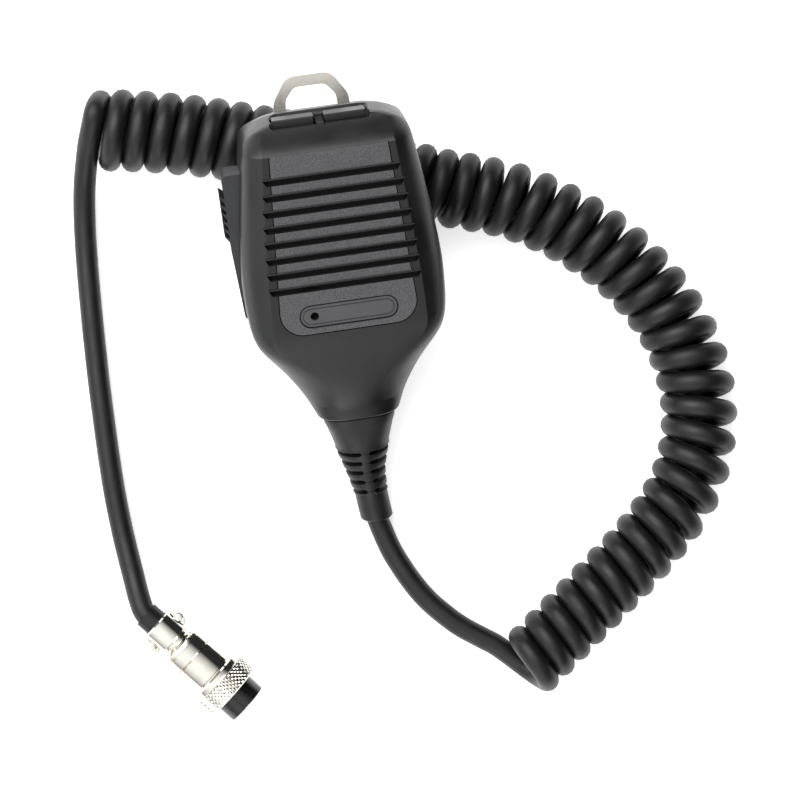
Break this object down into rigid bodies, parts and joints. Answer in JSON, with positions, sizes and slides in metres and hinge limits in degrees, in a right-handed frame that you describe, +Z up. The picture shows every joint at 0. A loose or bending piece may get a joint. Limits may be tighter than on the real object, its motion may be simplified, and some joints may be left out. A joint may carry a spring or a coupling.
{
  "type": "hand microphone",
  "caption": "Hand-held radio microphone with a louvred front, side press-to-talk lever, two top buttons, a metal hanging loop, curly cord and a round locking plug.",
  "frame": {"origin": "on the table, under the middle of the microphone body with its hanging loop and strain relief (the cord, coil and plug left out)", "axes": "+Z up from the table, +Y from the strain relief to the top end of the case, +X to the side away from the press-to-talk lever"},
  "size_m": [0.1812, 0.1897, 0.0569],
  "materials": {
    "case_plastic": "fine-grained satin black",
    "badge": "smooth satin black",
    "cloth": "dull woven dust cloth",
    "capsule_metal": "satin",
    "holder_rubber": "dull",
    "steel": "satin zinc plate",
    "nickel": "bright nickel plate",
    "switch_plastic": "dull dark grey",
    "pale_plastic": "satin ivory",
    "board": "green lacquered board",
    "cord_rubber": "smooth satin black",
    "wire_skin": "plain insulated wire",
    "insert_plastic": "smooth satin black",
    "contact_brass": "gold-flashed"
  },
  "bodies": {
    "microphone": {"front_case": "case_plastic", "rear_case": "case_plastic", "badge_plate": "badge", "louvre_cloth": "cloth", "mic_capsule": "capsule_metal", "capsule_holder": "holder_rubber", "case_screws": "steel", "ptt_pivot_pin": "steel", "ptt_spring": "steel", "ptt_switch": "switch_plastic", "push_switches": "switch_plastic", "button_board": "board", "main_board": "board", "board_components": "switch_plastic", "board_screws": "steel", "lead_header": "pale_plastic", "hang_loop": "nickel", "loop_screws": "steel", "strain_relief": "cord_rubber", "cord_tail": "cord_rubber", "cord_clamp": "steel", "cord_clamp_screws": "steel", "lead_wires": "wire_skin", "cord_lead_in": "cord_rubber", "cord_coil": "cord_rubber", "cord_lead_out": "cord_rubber", "plug_sleeve": "cord_rubber", "plug_tail": "nickel", "plug_clamp_bar": "nickel", "plug_clamp_screws": "nickel", "plug_barrel": "nickel", "plug_insert": "insert_plastic", "plug_contacts": "contact_brass", "plug_wires": "wire_skin", "insert_screw": "steel"},
    "ptt_lever": {"ptt_lever": "case_plastic"},
    "ptt_plunger": {"ptt_plunger": "pale_plastic"},
    "up_button": {"up_button": "case_plastic", "up_plunger": "pale_plastic"},
    "down_button": {"down_button": "case_plastic", "down_plunger": "pale_plastic"},
    "coupling_ring": {"coupling_ring": "nickel"}
  },
  "joints": [
    {"name": "ptt_press", "type": "hinge", "parent": "microphone", "child": "ptt_lever", "pos_m": [-0.0232, 0.00245, 0.02768], "axis": [0, 0.3173, -0.9483], "range_deg": [0, 2.9], "stiffness_Nm_per_rad": 0.8, "springref_deg": -2.29, "deforming": ["ptt_spring"]},
    {"name": "ptt_plunger_slide", "type": "slide", "parent": "microphone", "child": "ptt_plunger", "axis": [1, 0, 0], "range_m": [0, 0.0011]},
    {"name": "up_press", "type": "slide", "parent": "microphone", "child": "up_button", "axis": [0, -0.9483, -0.3173], "range_m": [0, 0.0006], "stiffness_N_per_m": 600, "springref_m": -0.001},
    {"name": "down_press", "type": "slide", "parent": "microphone", "child": "down_button", "axis": [0, -0.9483, -0.3173], "range_m": [0, 0.0006], "stiffness_N_per_m": 600, "springref_m": -0.001},
    {"name": "ring_spin", "type": "hinge", "parent": "microphone", "child": "coupling_ring", "pos_m": [-0.04907, -0.09781, 0.0091], "axis": [0.6428, -0.766, 0], "continuous": true}
  ],
  "couplings": [
    {"joint": "ptt_plunger_slide", "follows": "ptt_press", "m_per_rad": 0.021}
  ]
}
